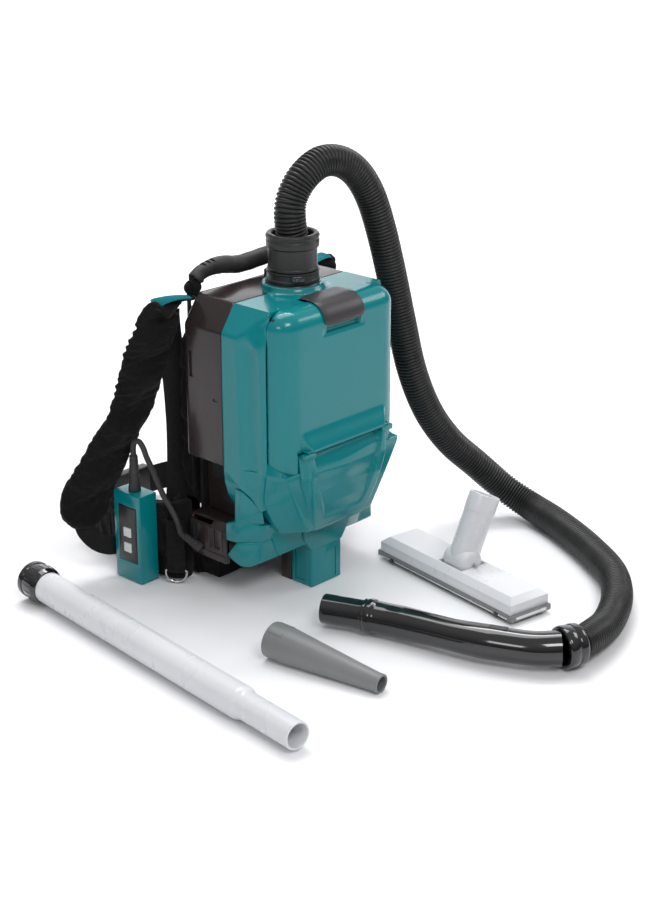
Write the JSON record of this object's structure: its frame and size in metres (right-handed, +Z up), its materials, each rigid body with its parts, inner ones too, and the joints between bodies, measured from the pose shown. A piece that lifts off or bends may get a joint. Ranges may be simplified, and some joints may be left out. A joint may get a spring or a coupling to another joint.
{
  "type": "backpack vacuum cleaner",
  "caption": "Backpack vacuum cleaner with hinged front cover, padded harness, ribbed hose, curved wand, wired remote and loose cleaning tools.",
  "frame": {"origin": "centre of the bottom face of the central foot, on the floor", "axes": "+Z up; -Y toward the front cover; +Y toward the wearer; +X to the side on which the hose lies"},
  "size_m": [0.6745, 0.7475, 0.5261],
  "materials": {
    "housing_black": "glossy brown-black moulded plastic",
    "housing_teal": "glossy teal moulded plastic",
    "latch_grey": "satin dark grey plastic",
    "satin_black": "satin black plastic",
    "gloss_black": "polished black plastic",
    "hose_black": "ribbed flexible black plastic",
    "soft_rubber": "soft grip rubber",
    "foam": "open-cell foam",
    "filter_cloth": "white filter fleece",
    "bag_cloth": "paper-like filter cloth",
    "pad_fabric": "black padded mesh fabric",
    "webbing": "black woven webbing",
    "teal_cloth": "teal coated cloth",
    "steel": "plated steel",
    "board": "green circuit board",
    "tool_white": "white moulded plastic",
    "tool_grey": "mid-grey moulded plastic",
    "button_white": "white keypad plastic",
    "bristle": "grey pile strip"
  },
  "bodies": {
    "pack": {"rear_housing": "housing_black", "front_housing": "housing_teal", "lower_housing": "housing_teal", "battery_housing": "housing_black", "battery_terminals": "satin_black", "motor": "steel", "fan_housing": "satin_black", "control_board": "board", "exhaust_foam": "foam", "filter_deck": "housing_black", "pre_filter": "filter_cloth", "dust_bag": "bag_cloth", "bag_collar": "bag_cloth", "housing_screws": "steel", "cover_hinge_pin": "steel", "inlet_flange": "housing_black", "hose_sleeve": "satin_black", "hose": "hose_black", "hose_cuff": "satin_black", "wand_body": "gloss_black", "wand_tip": "gloss_black", "handle_brackets": "webbing", "harness_frame": "housing_black", "back_pad": "pad_fabric", "lumbar_pad": "pad_fabric", "left_shoulder_strap": "pad_fabric", "right_shoulder_strap": "pad_fabric", "left_strap_cap": "teal_cloth", "right_strap_cap": "teal_cloth", "left_strap_webbing": "webbing", "right_strap_webbing": "webbing", "left_belt_wing": "pad_fabric", "right_belt_wing": "pad_fabric", "belt_webbing": "webbing", "belt_buckle": "satin_black", "ring_tab": "webbing", "remote_case": "housing_teal", "remote_panel": "satin_black", "remote_boot": "soft_rubber", "remote_cable": "soft_rubber", "cable_gland": "soft_rubber"},
    "cover": {"front_cover": "housing_teal", "cover_gasket": "soft_rubber", "latch_pin": "steel"},
    "latch": {"latch": "latch_grey"},
    "lock_ring": {"lock_ring": "satin_black"},
    "handle": {"handle_grip": "soft_rubber", "handle_loops": "webbing"},
    "fan": {"impeller": "steel"},
    "d_ring": {"d_ring": "steel"},
    "power_button": {"power_button": "button_white"},
    "mode_button": {"mode_button": "button_white"},
    "pipe": {"pipe_tube": "tool_white", "pipe_collar": "gloss_black"},
    "crevice_tool": {"crevice_nozzle": "tool_grey"},
    "floor_head": {"head_shell": "tool_white", "head_sole": "tool_grey", "head_brushes": "bristle", "neck_pin": "steel"},
    "floor_neck": {"nozzle_neck": "tool_white"}
  },
  "joints": [
    {"name": "cover_hinge", "type": "hinge", "parent": "pack", "child": "cover", "pos_m": [0, -0.062, 0.1935], "axis": [1, 0, 0], "range_deg": [0, 100]},
    {"name": "latch_pivot", "type": "hinge", "parent": "cover", "child": "latch", "pos_m": [0, -0.0205, 0.3616], "axis": [-1, 0, 0], "range_deg": [0, 30], "stiffness_Nm_per_rad": 0.15, "springref_deg": -5.73},
    {"name": "lock_ring_turn", "type": "hinge", "parent": "pack", "child": "lock_ring", "pos_m": [0, 0.028, 0.379], "axis": [0, 0, 1], "range_deg": [0, 35]},
    {"name": "handle_tilt", "type": "hinge", "parent": "pack", "child": "handle", "pos_m": [0, 0.104, 0.366], "axis": [1, 0, 0], "range_deg": [-10, 45]},
    {"name": "impeller_spin", "type": "hinge", "parent": "pack", "child": "fan", "pos_m": [0, 0, 0.13], "axis": [0, 0, 1], "continuous": true},
    {"name": "d_ring_swing", "type": "hinge", "parent": "pack", "child": "d_ring", "pos_m": [-0.1287, 0.1042, 0.0175], "axis": [-0.6018, 0.7986, 0], "range_deg": [0, 80]},
    {"name": "power_button_press", "type": "slide", "parent": "pack", "child": "power_button", "axis": [1, 0, 0], "range_m": [0, 0.0008], "stiffness_N_per_m": 400, "springref_m": -0.0004},
    {"name": "mode_button_press", "type": "slide", "parent": "pack", "child": "mode_button", "axis": [1, 0, 0], "range_m": [0, 0.0008], "stiffness_N_per_m": 400, "springref_m": -0.0004},
    {"name": "pipe_lift", "type": "slide", "parent": "pack", "child": "pipe", "axis": [0, 0, 1], "range_m": [0, 0.15]},
    {"name": "crevice_tool_lift", "type": "slide", "parent": "pack", "child": "crevice_tool", "axis": [0, 0, 1], "range_m": [0, 0.15]},
    {"name": "floor_head_lift", "type": "slide", "parent": "pack", "child": "floor_head", "axis": [0, 0, 1], "range_m": [0, 0.06]},
    {"name": "nozzle_neck_tilt", "type": "hinge", "parent": "floor_head", "child": "floor_neck", "pos_m": [0.106, -0.152, 0.034], "axis": [0.165, 0.9863, 0], "range_deg": [-34, 20]}
  ]
}
